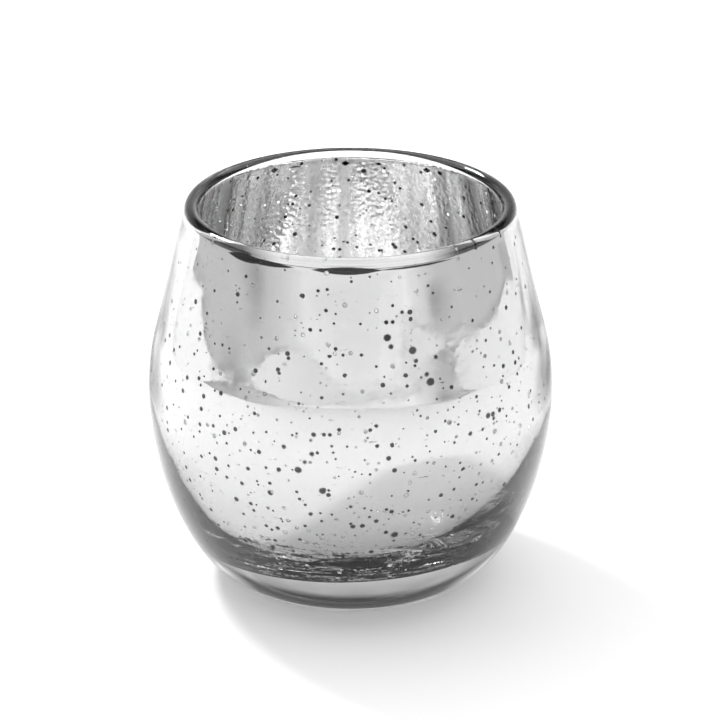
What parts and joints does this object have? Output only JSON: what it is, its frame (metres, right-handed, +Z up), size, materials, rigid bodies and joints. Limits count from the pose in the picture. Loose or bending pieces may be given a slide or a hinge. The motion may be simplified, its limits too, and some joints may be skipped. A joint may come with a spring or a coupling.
{
  "type": "tealight holder",
  "caption": "Round-bellied clear glass cup for a tealight, lined inside with a speckled silver mirror coat under clear lacquer.",
  "frame": {"origin": "centre of the foot, on the plane that the cup stands on", "axes": "+Z up along the cup's axis of revolution, -Y towards the viewer, +X to the viewer's right"},
  "size_m": [0.07, 0.07, 0.0675],
  "materials": {
    "glass": "clear, fire-polished",
    "silver": "antiqued mirror with dark specks and pinholes",
    "lacquer": "clear gloss with fine runs"
  },
  "bodies": {
    "root": {"glass_cup": "glass", "silver_coating": "silver", "clear_lacquer": "lacquer"}
  },
  "joints": []
}
